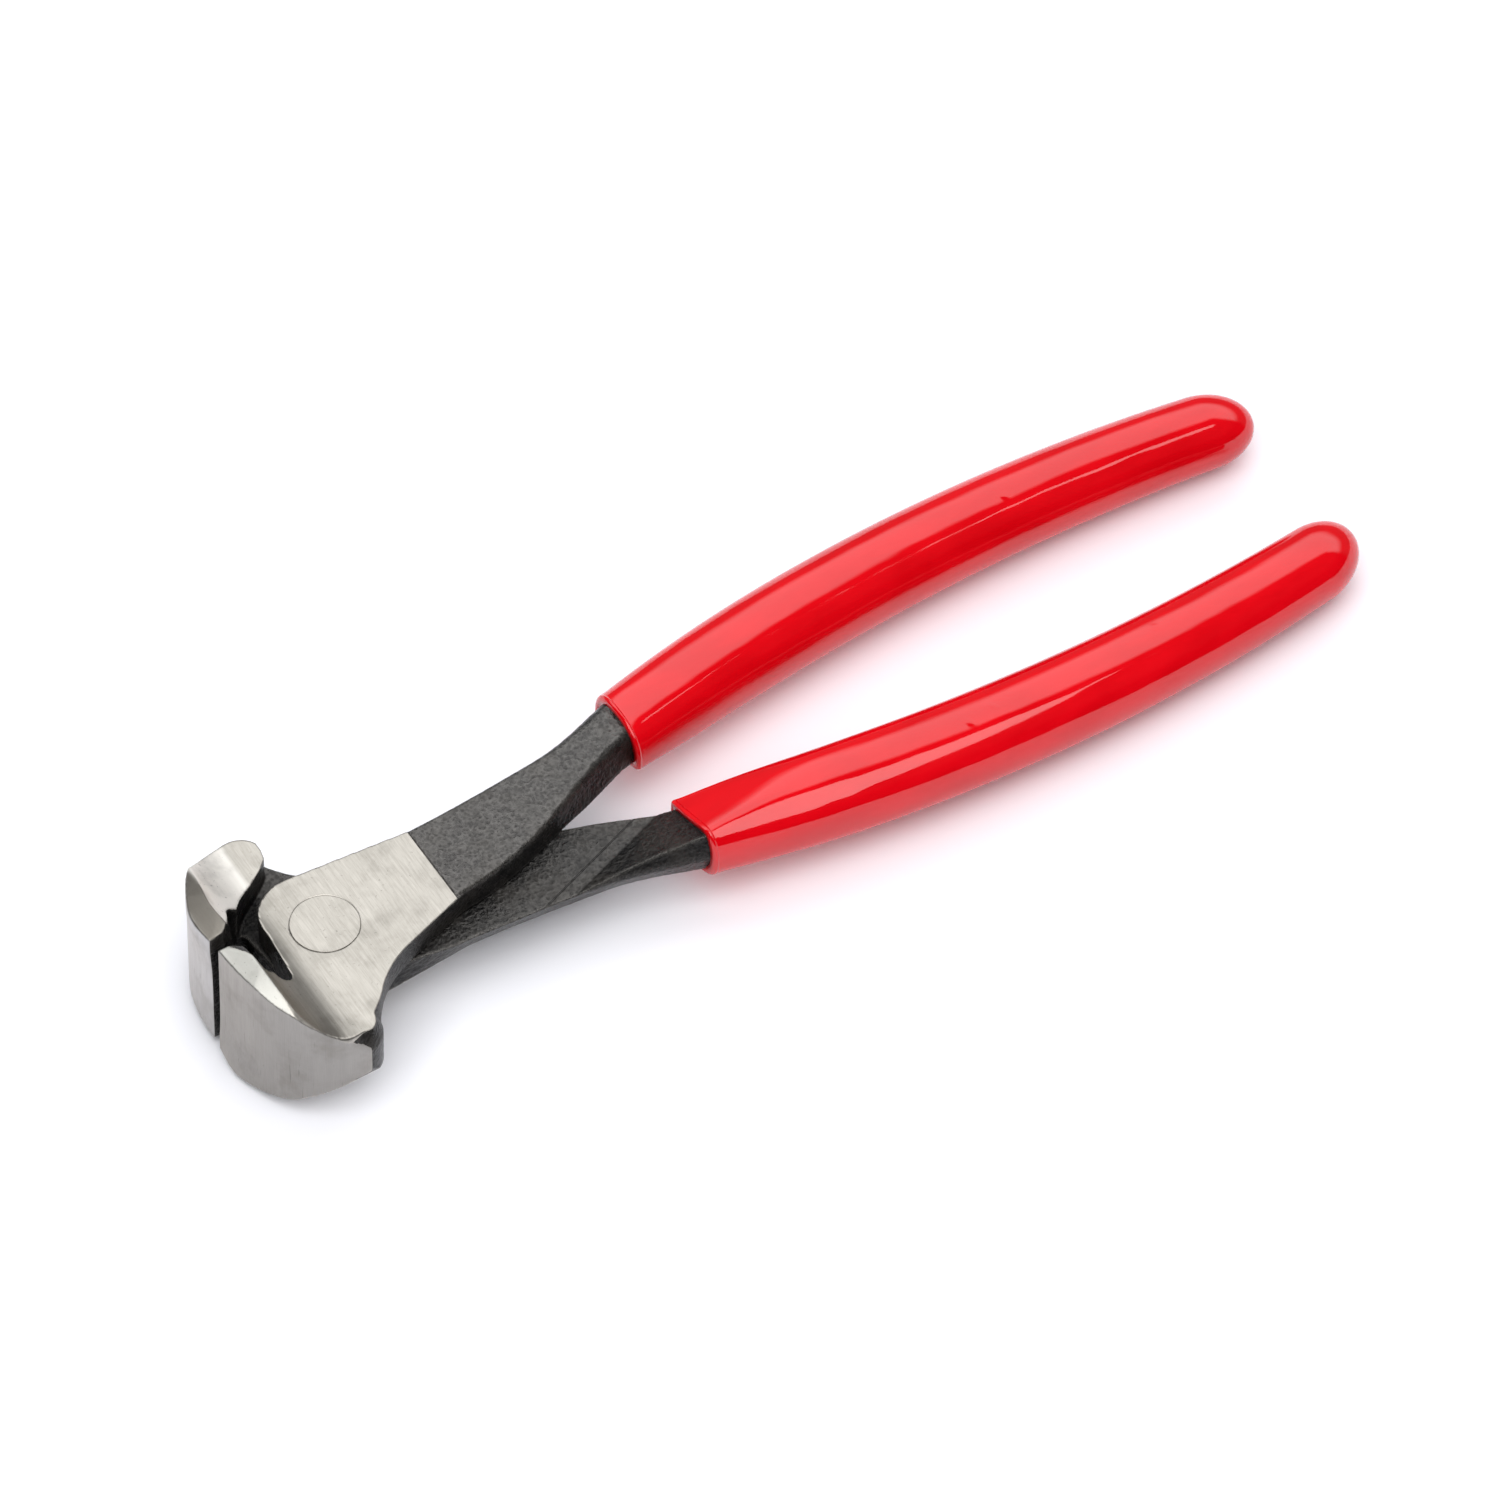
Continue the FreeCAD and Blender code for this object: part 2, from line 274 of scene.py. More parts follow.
def ear_taper(places):
    """How far the ear's end has tapered in at each height on the plate's side, from 0 to 1."""
    x, y, z = places.T
    return ramp(x, -9.5, -5.0) * ramp(-y, 16.0, 19.5) * np.clip((z - 1.7) / 3.2, 0, 1)


def hand_grinding(places):
    """What the wheel does that the drawing leaves out: a bevel, a fuller corner, a tapered ear."""
    height = places[:, 2]
    shaped = places + fuller_corner(places)
    shaped[:, 2] += np.sign(height) * rim_rise(places) * ramp(np.abs(height), 6.0, 10.5)
    ear_middle = np.array([-6.0, -18.0])
    shaped[:, :2] += (0.23 * ear_taper(places))[:, None] * (ear_middle - places[:, :2])
    return shaped


def finish_masks(places, faces):
    """Shares of ground steel, outer face, rim's bevel, jaw's hollow, and the flanks and throat,
    whose shine is cut as painted shade.
    """
    x, y, z = places.T
    upward = faces[:, 2] * np.sign(z)
    level = np.abs(faces[:, 2])
    outward = -0.55 * faces[:, 0] - 0.83 * faces[:, 1]

    top = (np.abs(z) > JOINT_FACE - 0.06) & (upward > 0.05) & (x < GROUND_END_X - 0.02)
    top &= (z < RIM_HEIGHT) | (inside_tip(places) < 0.1)
    ahead = (x < EAR_END_X) & ((x < -18.2) | (y < -9.0))
    ahead &= z < 2.4 + 0.95 * (EAR_END_X - x)
    outer = (level < 0.4) & (outward > 0.2) & ahead
    bevel = top & (x < CREST_X - 0.1) & (np.abs(z) > RIM_HEIGHT)
    # Only the hollow on the side away from the joint plate gets the painted highlight.
    hollow = top & ~bevel & (upward < 0.97) & (z < 0)
    flank_shade = np.maximum(1 - ramp(level, 0.91, 0.99), ramp(-x, 3.0, 6.0))
    return {"ground": top | outer, "outer": outer, "bevel": bevel, "hollow": hollow, "flank_shade": flank_shade}


def forging_depth(points):
    """How deep the hammered and gently wavy skin of the forging lies at each point."""
    hammered = noise_field(points, 1.1)
    wavy = noise_field(points + 40, 6.0, 1)
    return 0.03 * (1 + hammered) + 0.04 * (1 + wavy)


def add_tang(mesh, source):
    """Joins on the length of the lever that the grip hides."""
    tang = closed_part(source, keep_head=False)
    tang_mesh = bpy.data.meshes.new("tang")
    tang.to_mesh(tang_mesh)
    whole = bmesh.new()
    whole.from_mesh(mesh)
    whole.from_mesh(tang_mesh)
    whole.to_mesh(mesh)
    whole.free()
    tang.free()
    bpy.data.meshes.remove(tang_mesh)


def make_lever(node, name, body, side, material):
    source = frame["nodes"][node]
    head = closed_part(source, keep_head=True)
    mesh = remesh(head)
    faces = project(mesh, head) * (1, side, side)
    head.free()
    places = to_pivot(coordinates(mesh), side)
    masks = {}
    for finish, mask in finish_masks(places, faces).items():
        masks[finish] = neighbour_mean(mesh, mask.astype(float), MASK_ROUNDS[finish])

    rounded = neighbour_mean(mesh, hand_grinding(places), 2)
    set_coordinates(mesh, to_world(rounded, side))
    directions = normals(mesh) * (1, side, side)
    smooth = neighbour_mean(mesh, rounded, 6)
    convex = ((rounded - smooth) * directions).sum(axis=1)
    convex = neighbour_mean(mesh, convex, 2)
    masks["edge"] = np.clip(convex / 0.05, 0, 1)
    masks["lap"] = (np.abs(rounded[:, 2]) < 0.1).astype(float)

    forged_depth = (1 - masks["ground"]) * forging_depth(rounded)
    set_coordinates(mesh, to_world(rounded - directions * forged_depth[:, None], side))
    for finish, mask in masks.items():
        add_attribute(mesh, finish, mask)
    add_tang(mesh, source)
    mesh.name = name
    mesh.materials.append(material)
    new_piece(name, mesh, body, node)


# ------------------------------------------------------------------ grips

BOW_X = 133.0
BOW_Y = 19.1
BOW_RADIUS = 345.0
COLLAR_HALF_WIDTH = 6.7
GRIP_TIP_HALF_WIDTH = 6.5
DOME_X = 176.2
FULLEST_X = COLLAR_X + 0.3 * (DOME_X - COLLAR_X)
WALL = 1.1


def bow(x):
    """Distance of the handle's centre line from the tool's centre line."""
    return BOW_Y - (x - BOW_X) ** 2 / (2 * BOW_RADIUS)


def grip_half_width(x):
    """Half width of the grip: narrow at the collar, fullest a third along, slimmer at the end."""
    if x < FULLEST_X:
        lost = GRIP_HALF_WIDTH - COLLAR_HALF_WIDTH
        return GRIP_HALF_WIDTH - lost * ((FULLEST_X - x) / (FULLEST_X - COLLAR_X)) ** 2
    lost = GRIP_HALF_WIDTH - GRIP_TIP_HALF_WIDTH
    return GRIP_HALF_WIDTH - lost * ((x - FULLEST_X) / (DOME_X - FULLEST_X)) ** 2


def squareness(x):
    """Power of the section: squarer near the collar, like the forging inside, then rounder."""
    return 2.05 + 0.4 * math.exp(-(x - COLLAR_X) / 30.0)


def outer_stations():
    """x and half width of each ring, from the collar's face to the tip."""
    lip, lip_steps = 0.65, 6
    flare, flare_reach = 0.14, 1.4
    dome_steps = 24
    stations = []
    for step in reversed(range(lip_steps + 1)):
        angle = math.radians(90 * step / lip_steps)
        x = COLLAR_X + lip * (1 - math.sin(angle))
        stations.append((x, grip_half_width(x) + flare - lip * (1 - math.cos(angle))))
    x = COLLAR_X + lip
    while x < DOME_X:
        flared = flare * math.exp(-((x - COLLAR_X) / flare_reach) ** 2)
        stations.append((x, grip_half_width(x) + flared))
        x += 0.2 if x < COLLAR_X + 5 else 0.5
    for step in range(dome_steps):
        angle = math.radians(90 * step / dome_steps)
        x = DOME_X + (GRIP_END_X - DOME_X) * math.sin(angle)
        stations.append((x, GRIP_TIP_HALF_WIDTH * math.cos(angle)))
    return stations


def ring(x, half_width, half_height, power):
    """Points of a squared-off oval round the centre line."""
    points = []
    for step in range(AROUND):
        angle = 2 * math.pi * step / AROUND
        across, up = math.cos(angle), math.sin(angle)
        stretch = (abs(across) ** power + abs(up) ** power) ** (-1 / power)
        points.append((x, bow(x) + half_width * stretch * across, half_height * stretch * up))
    return np.array(points)


def flatten(points, wall):
    """Keeps the points no lower than a wall's thickness under the facet, with a soft bend."""
    floor = facet_height(points) - wall / math.cos(FACET_SLOPE)
    over = points[:, 2] - floor
    softness = 0.45
    flattened = points.copy()
    flattened[:, 2] = floor + softness * np.logaddexp(0, over / softness)
    return flattened


def outside_rings():
    """Rings over the outside of the grip, from the collar to the tip."""
    rings = []
    for x, width in outer_stations():
        rings.append(flatten(ring(x, width, width * GRIP_FLATNESS, squareness(x)), WALL))
    return rings


def socket_rings():
    """Rings back along the socket, a little inside the tang so that no gap shows between them."""
    half_width, half_height, power = 5.5, 5.05, 2.2
    inside_facet = 0.25
    spans = 39
    rings = []
    for step in range(spans + 1):
        x = TANG_END_X - (TANG_END_X - COLLAR_X) * step / spans
        rings.append(flatten(ring(x, half_width, half_height, power), -inside_facet))
    return rings


def drip(points, centre_x, angle_deg, height, width):
    """A small run in the dip: a short low ridge, slanted across the grip."""
    ridge, slant = 0.35, 0.5
    around = np.arctan2(points[:, 2], points[:, 1] - bow(centre_x))
    apart = np.angle(np.exp(1j * (around - math.radians(angle_deg)))) * GRIP_HALF_WIDTH
    along = points[:, 0] - centre_x - slant * apart
    return height * np.exp(-(along / ridge) ** 2 - (apart / width) ** 2)


def dipped(points, side, drips):
    """The outside with the low waves and drips of a dipped coat, which fade at both ends."""
    centre = np.column_stack([points[:, 0], bow(points[:, 0]), np.zeros(len(points))])
    spoke = points - centre
    radius = np.linalg.norm(spoke, axis=1)
    spoke /= np.maximum(radius, 1e-6)[:, None]
    fade = np.clip(radius / 3.0, 0, 1) * np.clip((points[:, 0] - COLLAR_X) / 2.0, 0, 1)
    raised = 0.05 * noise_field(points / (6.0, 1.0, 1.0) + side * 30, 4.0, 1)
    for mark in drips:
        raised += drip(points, *mark)
    return points + spoke * (raised * fade)[:, None]


def make_grip(node, name, body, side, drips, material):
    outside = outside_rings()
    points = dipped(np.concatenate(outside), side, drips)
    rings = np.split(points, len(outside)) + socket_rings()
    tip = len(outside) - 1
    build = bmesh.new()
    layers = []
    for item in rings:
        layers.append([build.verts.new(place) for place in to_world(item, side)])
    for index in range(len(layers) - 1):
        if index != tip:
            join_rings(build, layers[index], layers[index + 1])
    build.faces.new(layers[tip])
    build.faces.new(layers[tip + 1])
    join_rings(build, layers[-1], layers[0])
    bmesh.ops.recalc_face_normals(build, faces=build.faces)
    new_piece(name, to_mesh(build, name, material), body, node)


# ------------------------------------------------------------------ rivet

def rivet_profile():
    """Radius and height of each circle of the headed rivet, from the top face to the bottom."""
    waist, shank, easing = 3.3, 3.95, 0.1
    chamfer = 0.015
    upper_half = [
        (RIVET_RADIUS * 0.5, JOINT_FACE),
        (RIVET_RADIUS * 0.9, JOINT_FACE),
        (RIVET_RADIUS - 0.2, JOINT_FACE),
        (RIVET_RADIUS - chamfer, JOINT_FACE),
        (RIVET_RADIUS, JOINT_FACE - chamfer),
        (RIVET_RADIUS - 0.3, JOINT_FACE - 0.4),
        (shank + easing, waist + easing),
        (shank, waist - easing),
    ]
    lower_half = [(radius, -height) for radius, height in reversed(upper_half)]
    return upper_half + [(shank, 0.0)] + lower_half


def make_rivet(material):
    """The rivet, ground flush, with the hairline gap at the rim of each head."""
    build = bmesh.new()
    layers = []
    for radius, height in rivet_profile():
        circle = []
        for step in range(AROUND):
            angle = 2 * math.pi * step / AROUND
            circle.append((radius * math.cos(angle), radius * math.sin(angle), height))
        layers.append([build.verts.new(place) for place in to_world(circle, UPPER)])
    for upper, lower in zip(layers, layers[1:]):
        join_rings(build, upper, lower)
    build.faces.new(layers[0])
    build.faces.new(layers[-1])
    bmesh.ops.recalc_face_normals(build, faces=build.faces)
    mesh = to_mesh(build, "rivet", material)
    new_piece("rivet", mesh, "lower_half", "pivot_rivet")


# ------------------------------------------------------------------ materials

PLAIN = (1, 1, 1, 1)
GROUND_DULL = (0.36, 0.34, 0.305, 1)
GROUND_BRIGHT = (0.465, 0.44, 0.40, 1)
HOLLOW_PAINTED_HIGHLIGHT = (0.95, 0.92, 0.87, 1)
STAIN = (0.14, 0.13, 0.11, 1)
SCRATCH = (0.09, 0.085, 0.08, 1)
PIT = (0.12, 0.10, 0.08, 1)
OXIDE_DEEP = (0.002, 0.002, 0.0025, 1)
OXIDE = (0.008, 0.0075, 0.007, 1)
OXIDE_BROWN = (0.020, 0.0175, 0.015, 1)
EDGE_WEAR_AND_HIGHLIGHT = (0.20, 0.19, 0.175, 1)
SCRIBED_GROOVE = (0.004, 0.004, 0.004, 1)
RIVET_RIM = (0.12, 0.105, 0.085, 1)
RIVET_GAP_PAINTED_SHADE = (0.05, 0.045, 0.04, 1)
VINYL_DEEP = (0.62, 0.001, 0.005, 1)
VINYL_BRIGHT = (0.70, 0.002, 0.007, 1)
VINYL_SPECK = (0.5, 0.002, 0.006, 1)
FLOOR_DULL = (0.895, 0.90, 0.95, 1)
FLOOR_BRIGHT = (0.925, 0.925, 0.96, 1)

GRIND_HEIGHT = 0.10
STEEL_BUMP = 0.16
VINYL_BUMP = 0.07


class Nodes:
    """Short calls for building one material's node tree."""

    def __init__(self, name):
        self.material = bpy.data.materials.new(name)
        self.material.use_nodes = True
        self.tree = self.material.node_tree
        self.shader = self.tree.nodes["Principled BSDF"]

    def add(self, kind, **settings):
        node = self.tree.nodes.new(f"ShaderNode{kind}")
        for key, value in settings.items():
            setattr(node, key, value)
        return node

    def put(self, socket, value):
        """Links the value to the socket if it comes from a node, or else sets it."""
        if isinstance(value, bpy.types.NodeSocket):
            self.tree.links.new(value, socket)
        else:
            socket.default_value = value

    def finish(self, **inputs):
        """Gives the shader its inputs, named with _ for a space; returns the material."""
        for name, value in inputs.items():
            self.put(self.shader.inputs[name.replace("_", " ")], value)
        return self.material

    def attribute(self, name):
        return self.add("Attribute", attribute_name=name).outputs["Fac"]

    def place(self, scale=(1, 1, 1)):
        """Position in millimetres, stretched by scale."""
        mapping = self.add("Mapping")
        self.put(mapping.inputs["Vector"], self.add("TexCoord").outputs["Object"])
        self.put(mapping.inputs["Scale"], [each / MM for each in scale])
        return mapping.outputs["Vector"]

    def noise(self, scale, detail=2.0, rough=0.5, distortion=0.0):
        texture = self.add("TexNoise")
        self.put(texture.inputs["Vector"], self.place(scale))
        self.put(texture.inputs["Scale"], 1.0)
        self.put(texture.inputs["Detail"], detail)
        self.put(texture.inputs["Roughness"], rough)
        self.put(texture.inputs["Distortion"], distortion)
        return texture.outputs["Fac"]

    def cells(self, scale, feature="F1"):
        texture = self.add("TexVoronoi", feature=feature)
        self.put(texture.inputs["Vector"], self.place(scale))
        self.put(texture.inputs["Scale"], 1.0)
        return texture.outputs["Distance"]

    def distance(self, operation, scale, point):
        """Dot product with, or distance from, a fixed vector in millimetres."""
        node = self.add("VectorMath", operation=operation)
        self.put(node.inputs[0], self.place(scale))
        self.put(node.inputs[1], point)
        return node.outputs["Value"]

    def math(self, operation, first, second=0.0, clamp=False):
        node = self.add("Math", operation=operation, use_clamp=clamp)
        self.put(node.inputs[0], first)
        self.put(node.inputs[1], second)
        return node.outputs[0]

    def spread(self, value, low, high, to_low=0.0, to_high=1.0):
        """Maps low to high smoothly onto to_low to to_high."""
        node = self.add("MapRange", interpolation_type="SMOOTHSTEP")
        self.put(node.inputs["Value"], value)
        self.put(node.inputs["From Min"], low)
        self.put(node.inputs["From Max"], high)
        self.put(node.inputs["To Min"], to_low)
        self.put(node.inputs["To Max"], to_high)
        return node.outputs["Result"]

    def mix(self, factor, first, second):
        """Mixes two colours."""
        node = self.add("Mix", data_type="RGBA")
        self.put(node.inputs["Factor"], factor)
        self.put(node.inputs[6], first)
        self.put(node.inputs[7], second)
        return node.outputs[2]

    def blend(self, factor, first, second):
        """Mixes two numbers."""
        node = self.add("Mix", data_type="FLOAT")
        self.put(node.inputs["Factor"], factor)
        self.put(node.inputs[2], first)
        self.put(node.inputs[3], second)
        return node.outputs[0]

    def tint(self, colour, mask, amount, other):
        """The colour moved towards another by the given amount where the mask is 1."""
        return self.mix(self.math("MULTIPLY", mask, amount), colour, other)

    def dim(self, value, mask, amount):
        """The value with the given share of it taken off where the mask is 1."""
        kept = self.math("SUBTRACT", 1.0, self.math("MULTIPLY", mask, amount))
        return self.math("MULTIPLY", value, kept)

    def weigh(self, first, first_weight, second, second_weight):
        """The weighted sum of two values."""
        first_part = self.math("MULTIPLY", first, first_weight)
        return self.math("ADD", first_part, self.math("MULTIPLY", second, second_weight))

    def bump(self, height, distance):
        node = self.add("Bump")
        self.put(node.inputs["Strength"], 1.0)
        self.put(node.inputs["Distance"], distance * MM)
        self.put(node.inputs["Height"], height)
        return node.outputs["Normal"]


def grinding_lines(nodes, outer):
    """Fine and broad lines left by the wheel: across the tool, or upright on the outer face."""
    across = nodes.noise((11.0, 0.35, 11.0), detail=3.0, rough=0.7)
    upright = nodes.noise((9.0, 9.0, 0.2), detail=2.0, rough=0.6)
    broad_across = nodes.noise((2.2, 0.12, 2.2), detail=3.0, rough=0.6)
    broad_upright = nodes.noise((0.9, 0.9, 0.05), detail=2.0)
    fine = nodes.blend(outer, across, upright)
    broad = nodes.blend(outer, broad_across, broad_upright)
    return nodes.weigh(fine, 0.6, broad, 0.4)


def ground_layers(nodes, outer=0.0, bevel=0.0, hollow=0.0, outer_painted_light=PLAIN, bevel_painted_light=PLAIN):
    """Colour, roughness and height of ground steel, with a few stains, scratches and pits, and
    painted light and shade on the outer face, bevel and hollow.
    """
    lines = grinding_lines(nodes, outer)
    stain = nodes.noise((0.14, 0.14, 0.14), detail=4.0, rough=0.6)
    streak = nodes.noise((2.4, 2.4, 0.16), detail=1.0, distortion=0.6)
    scratch = nodes.spread(streak, 0.70, 0.76)
    pit = nodes.spread(nodes.cells((0.11, 0.11, 0.11)), 0.022, 0.035, 1.0, 0.0)
    colour = nodes.mix(nodes.spread(lines, 0.32, 0.68), GROUND_DULL, GROUND_BRIGHT)
    # Painted highlight in the jaw's hollow.
    colour = nodes.tint(colour, hollow, 0.8, HOLLOW_PAINTED_HIGHLIGHT)
    # Painted light and shade on the outer face and the bevel, set per lever.
    colour = nodes.tint(colour, outer, 0.8, outer_painted_light)
    colour = nodes.tint(colour, bevel, 0.8, bevel_painted_light)
    colour = nodes.mix(nodes.spread(stain, 0.45, 0.75, 0.0, 0.38), colour, STAIN)
    colour = nodes.tint(colour, scratch, 0.40, SCRATCH)
    colour = nodes.tint(colour, pit, 0.6, PIT)
    satin = nodes.math("ADD", bevel, hollow, clamp=True)
    rough = nodes.blend(satin, nodes.spread(lines, 0.3, 0.7, 0.40, 0.29), 0.52)
    return colour, rough, lines


def forged_layers(nodes, edge, flank_shade):
    """Colour, roughness, height and shine of the forging's leathery black oxide, worn at edges,
    where the lighter colour is also a painted highlight, and with painted shade as less shine on
    the flanks and throat.
    """
    leather = nodes.noise((0.9, 0.9, 0.9), detail=4.0, rough=0.55, distortion=1.2)
    pebbles = nodes.cells((1.6, 1.6, 1.6), "SMOOTH_F1")
    fine = nodes.noise((7.0, 7.0, 7.0), detail=2.0)
    patch = nodes.noise((0.16, 0.16, 0.16), detail=2.0)
    colour = nodes.mix(nodes.spread(leather, 0.35, 0.65), OXIDE_DEEP, OXIDE)
    colour = nodes.mix(nodes.spread(patch, 0.4, 0.7, 0.0, 0.6), colour, OXIDE_BROWN)
    # Lighter convex edges: real wear, and a painted highlight along the ridges.
    rubbed_and_lit = nodes.math("MULTIPLY", edge, nodes.spread(fine, 0.42, 0.66))
    colour = nodes.tint(colour, rubbed_and_lit, 0.45, EDGE_WEAR_AND_HIGHLIGHT)
    rough = nodes.spread(patch, 0.35, 0.7, 0.22, 0.34)
    height = nodes.math("ADD", leather, nodes.weigh(pebbles, 0.7, fine, 0.3))
    # Less shine on the flanks and in the throat: painted shade.
    shine = nodes.dim(nodes.spread(height, 0.7, 1.2, 0.48, 0.86), flank_shade, 0.78)
    return colour, rough, height, shine


def scribed(nodes, side):
    """1 along the fine line that is scribed across the lap face, just short of the facet."""
    normal = Vector((-math.sin(FACET_TURN), math.cos(FACET_TURN) * side, 0))
    start = Vector(to_world([(*SCRIBED_START, 0)], side)[0] / MM)
    along = nodes.distance("DOT_PRODUCT", (1, 1, 1), normal)
    past = nodes.math("SUBTRACT", along, normal.dot(start))
    return nodes.spread(nodes.math("ABSOLUTE", past), 0.05, 0.16, 1.0, 0.0)


def steel(name, side, outer_painted_light, bevel_painted_light):
    """Ground steel and black forging in one material, parted by the mesh's own shares."""
    nodes = Nodes(name)
    wobble = nodes.math("MULTIPLY", nodes.math("SUBTRACT", nodes.noise((3, 3, 3)), 0.5), 0.25)
    is_ground = nodes.spread(nodes.math("ADD", nodes.attribute("ground"), wobble), 0.4, 0.6)
    bright, bright_rough, lines = ground_layers(
        nodes, nodes.attribute("outer"), nodes.attribute("bevel"), nodes.attribute("hollow"),
        outer_painted_light, bevel_painted_light)
    black, black_rough, leather, shine = forged_layers(
        nodes, nodes.attribute("edge"), nodes.attribute("flank_shade"))
    lap = nodes.attribute("lap")
    line = nodes.math("MULTIPLY", scribed(nodes, side), lap)
    black = nodes.mix(line, black, SCRIBED_GROOVE)
    leather = nodes.math("SUBTRACT", leather, nodes.math("MULTIPLY", line, 0.8))
    height = nodes.blend(is_ground, leather, nodes.math("MULTIPLY", lines, GRIND_HEIGHT))
    return nodes.finish(
        Base_Color=nodes.mix(is_ground, black, bright),
        Roughness=nodes.blend(is_ground, black_rough, bright_rough),
        Metallic=is_ground,
        Specular_IOR_Level=nodes.dim(shine, lap, 0.4),
        Specular_Tint=(1.0, 0.96, 0.92, 1),
        IOR=1.65,
        Normal=nodes.bump(height, STEEL_BUMP),
    )


def rivet_steel(name):
    """The joint's ground steel, darker in a broken ring where the head meets the plate, with
    painted shade in the hairline gap at its edge.
    """
    nodes = Nodes(name)
    bright, rough, lines = ground_layers(nodes)
    from_axis = nodes.distance("DISTANCE", (1, 1, 0), (PIVOT.x / MM, PIVOT.y / MM, 0))
    rim = nodes.spread(from_axis, RIVET_RADIUS - 0.16, RIVET_RADIUS - 0.03)
    gap_shade = nodes.spread(from_axis, RIVET_RADIUS - 0.05, RIVET_RADIUS - 0.02)
    broken = nodes.spread(nodes.noise((0.4, 0.4, 0.4)), 0.35, 0.6, 0.10, 0.60)
    colour = nodes.tint(bright, rim, broken, RIVET_RIM)
    # Painted shade in the hairline gap at the head's edge.
    colour = nodes.tint(colour, gap_shade, nodes.math("ADD", broken, 0.25), RIVET_GAP_PAINTED_SHADE)
    return nodes.finish(
        Base_Color=colour,
        Roughness=rough,
        Metallic=1.0,
        Normal=nodes.bump(nodes.math("MULTIPLY", lines, GRIND_HEIGHT), STEEL_BUMP),
    )


def red_vinyl(name):
    """Glossy dipped vinyl: slightly cloudy, with few specks, faint smears and long ripples."""
    nodes = Nodes(name)
    cloud = nodes.noise((0.08, 0.2, 0.2), detail=3.0)
    speck = nodes.spread(nodes.cells((0.2, 0.2, 0.2)), 0.02, 0.05, 1.0, 0.0)
    smear = nodes.noise((0.1, 0.5, 0.5), detail=2.0)
    ripple = nodes.noise((0.10, 0.30, 0.30), detail=1.0)
    colour = nodes.mix(nodes.spread(cloud, 0.3, 0.7), VINYL_DEEP, VINYL_BRIGHT)
    return nodes.finish(
        Base_Color=nodes.tint(colour, speck, 0.25, VINYL_SPECK),
        Roughness=nodes.spread(smear, 0.35, 0.7, 0.04, 0.08),
        IOR=1.56,
        Normal=nodes.bump(ripple, VINYL_BUMP),
    )


def pale_floor(name):
    nodes = Nodes(name)
    cloud = nodes.noise((0.004, 0.004, 0.004), detail=1.0)
    return nodes.finish(
        Base_Color=nodes.mix(cloud, FLOOR_DULL, FLOOR_BRIGHT),
        Roughness=0.9,
        Specular_IOR_Level=0.1,
    )


# ------------------------------------------------------------------ studio

CAMERA_AZIMUTH = math.radians(-33.78)
CAMERA_ELEVATION = math.radians(51.58)
CAMERA_ROLL = math.radians(2.16)
CAMERA_DISTANCE = 1.497
CAMERA_LENS = 225.0
AIM = PIVOT + Vector((77.6, -1.7, 0.0)) * MM

FLOOR_HALF_SIZE = 4.0
JAW_REST_X = -16.0


def direction(azimuth, elevation):
    """Unit vector to a place seen at an azimuth, where 0 is -Y, and an elevation."""
    level = math.cos(elevation)
    return Vector((math.sin(azimuth) * level, -math.cos(azimuth) * level, math.sin(elevation)))


def make_camera():
    camera = bpy.data.objects.new("camera", bpy.data.cameras.new("camera"))
    bpy.context.scene.collection.objects.link(camera)
    back = direction(CAMERA_AZIMUTH, CAMERA_ELEVATION)
    right = Vector((0, 0, 1)).cross(back).normalized()
    up = back.cross(right)
    tilted_right = right * math.cos(CAMERA_ROLL) + up * math.sin(CAMERA_ROLL)
    tilted_up = up * math.cos(CAMERA_ROLL) - right * math.sin(CAMERA_ROLL)
    axes = Matrix((tilted_right, tilted_up, back)).transposed()
    camera.matrix_world = Matrix.Translation(AIM + back * CAMERA_DISTANCE) @ axes.to_4x4()
    camera.data.lens = CAMERA_LENS
    camera.data.sensor_width = 36.0
    camera.data.clip_start = 0.05
    camera.data.clip_end = 30.0
    bpy.context.scene.camera = camera


def make_floor():
    """A pale floor just under the jaws' fuller corners, sloped as the tool lies on a table."""
    drop = JAW_HALF_WIDTH - GRIP_TIP_HALF_WIDTH * GRIP_FLATNESS
    slope = math.atan2(drop, DOME_X - JAW_REST_X)
    under_jaw = (JAW_REST_X, 0, -JAW_HALF_WIDTH - 2 * CREST_RISE)
    place = Matrix.Translation(Vector(to_world([under_jaw], UPPER)[0]))
    build = bmesh.new()
    bmesh.ops.create_grid(build, x_segments=8, y_segments=8, size=FLOOR_HALF_SIZE)
    bmesh.ops.transform(build, matrix=place @ Matrix.Rotation(-slope, 4, "Y"), verts=build.verts)
    floor = bpy.data.objects.new("floor", to_mesh(build, "floor", pale_floor("pale_floor")))
    bpy.context.scene.collection.objects.link(floor)


def soft_light(name, azimuth, elevation, distance, width, height, power):
    """A rectangular lamp that faces the tool."""
    lamp = bpy.data.lights.new(name, "AREA")
    lamp.shape = "RECTANGLE"
    lamp.size = width
    lamp.size_y = height
    lamp.energy = power
    holder = bpy.data.objects.new(name, lamp)
    bpy.context.scene.collection.objects.link(holder)
    away = direction(azimuth, elevation)
    holder.location = AIM + away * distance
    holder.rotation_mode = "QUATERNION"
    holder.rotation_quaternion = away.to_track_quat("Z", "Y")


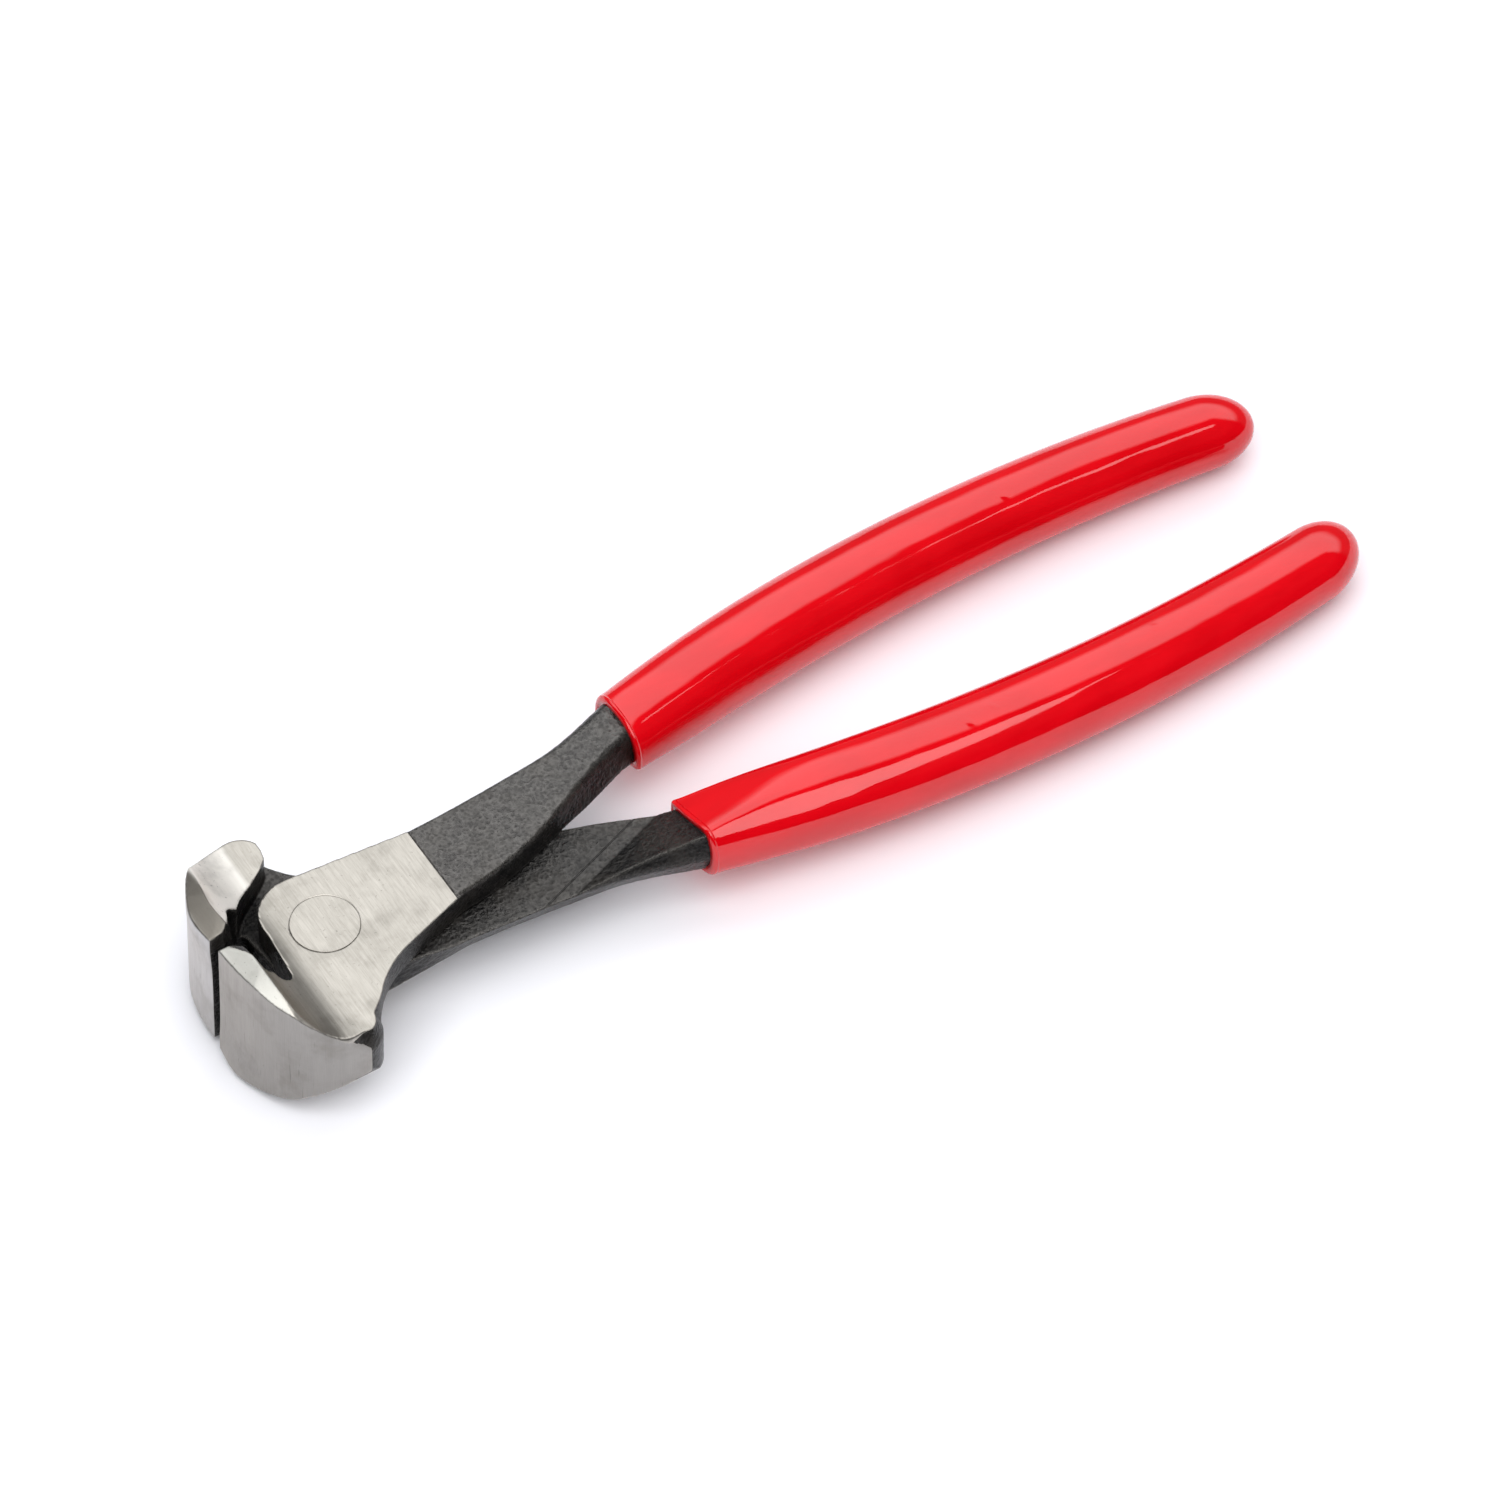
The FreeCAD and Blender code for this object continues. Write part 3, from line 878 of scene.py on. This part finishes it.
def make_world(away):
    """A bright panel high behind the tool, a dim backdrop below it and a dark room in front."""
    world = bpy.data.worlds.new("studio")
    bpy.context.scene.world = world
    world.use_nodes = True
    tree = world.node_tree
    background = tree.nodes["Background"]
    coordinates_node = tree.nodes.new("ShaderNodeTexCoord")

    def sweep(axis, low, high, dark, bright):
        """Brightness that grows from dark to bright along an axis."""
        facing = tree.nodes.new("ShaderNodeVectorMath")
        facing.operation = "DOT_PRODUCT"
        facing.inputs[1].default_value = axis
        brightness = tree.nodes.new("ShaderNodeMapRange")
        brightness.interpolation_type = "SMOOTHSTEP"
        brightness.inputs["From Min"].default_value = low
        brightness.inputs["From Max"].default_value = high
        brightness.inputs["To Min"].default_value = dark
        brightness.inputs["To Max"].default_value = bright
        tree.links.new(coordinates_node.outputs["Generated"], facing.inputs[0])
        tree.links.new(facing.outputs["Value"], brightness.inputs["Value"])
        return brightness.outputs["Result"]

    both = tree.nodes.new("ShaderNodeMath")
    both.operation = "MULTIPLY"
    tree.links.new(sweep(away, 0.17, 0.30, dark=0.02, bright=1.0), both.inputs[0])
    tree.links.new(sweep((0, 0, 1), 0.36, 0.60, dark=0.15, bright=2.0), both.inputs[1])
    sight = tree.nodes.new("ShaderNodeLightPath")
    shown = tree.nodes.new("ShaderNodeMix")
    tree.links.new(sight.outputs["Is Camera Ray"], shown.inputs["Factor"])
    tree.links.new(both.outputs[0], shown.inputs[2])
    shown.inputs[3].default_value = 1.0
    tree.links.new(shown.outputs[0], background.inputs["Strength"])
    background.inputs["Color"].default_value = (0.98, 0.99, 1.0, 1)


def make_studio():
    make_camera()
    make_floor()
    make_world(direction(CAMERA_AZIMUTH + math.pi, 0.0))
    soft_light("overhead", CAMERA_AZIMUTH, math.radians(66.0), distance=0.95,
               width=1.3, height=0.9, power=12.0)
    bpy.context.scene.view_settings.view_transform = "Standard"


# ------------------------------------------------------------------ the tool
# Both levers are the same steel.  Their outer faces and bevels have base colours of their own only
# to set how light or dark
# each looks in this studio: painted shade on the upper outer face and the lower bevel, a painted
# reflection on the lower outer face and a painted highlight on the upper bevel.

UPPER_OUTER_PAINTED_SHADE = (0.28, 0.27, 0.26, 1)
UPPER_BEVEL_PAINTED_HIGHLIGHT = (0.50, 0.50, 0.47, 1)
LOWER_OUTER_PAINTED_REFLECTION = (0.44, 0.44, 0.45, 1)
LOWER_BEVEL_PAINTED_SHADE = (0.12, 0.11, 0.095, 1)

# Each drip: its x, its angle round the grip in degrees, its height and its width.
UPPER_DRIPS = [(138.0, 104.0, 0.14, 0.6)]
LOWER_DRIPS = [(107.5, 280.0, 0.16, 0.7), (112.5, 272.0, 0.18, 0.8), (144.0, 264.0, 0.14, 0.6)]

make_studio()
upper_steel = steel("upper_steel", UPPER, UPPER_OUTER_PAINTED_SHADE, UPPER_BEVEL_PAINTED_HIGHLIGHT)
make_lever("upper_lever", "upper_forging", "upper_half", UPPER, upper_steel)
lower_steel = steel("lower_steel", LOWER, LOWER_OUTER_PAINTED_REFLECTION, LOWER_BEVEL_PAINTED_SHADE)
make_lever("lower_lever", "lower_forging", "lower_half", LOWER, lower_steel)
make_rivet(rivet_steel("rivet_steel"))
vinyl = red_vinyl("red_vinyl")
make_grip("upper_grip", "upper_dip", "upper_half", UPPER, UPPER_DRIPS, vinyl)
make_grip("lower_grip", "lower_dip", "lower_half", LOWER, LOWER_DRIPS, vinyl)
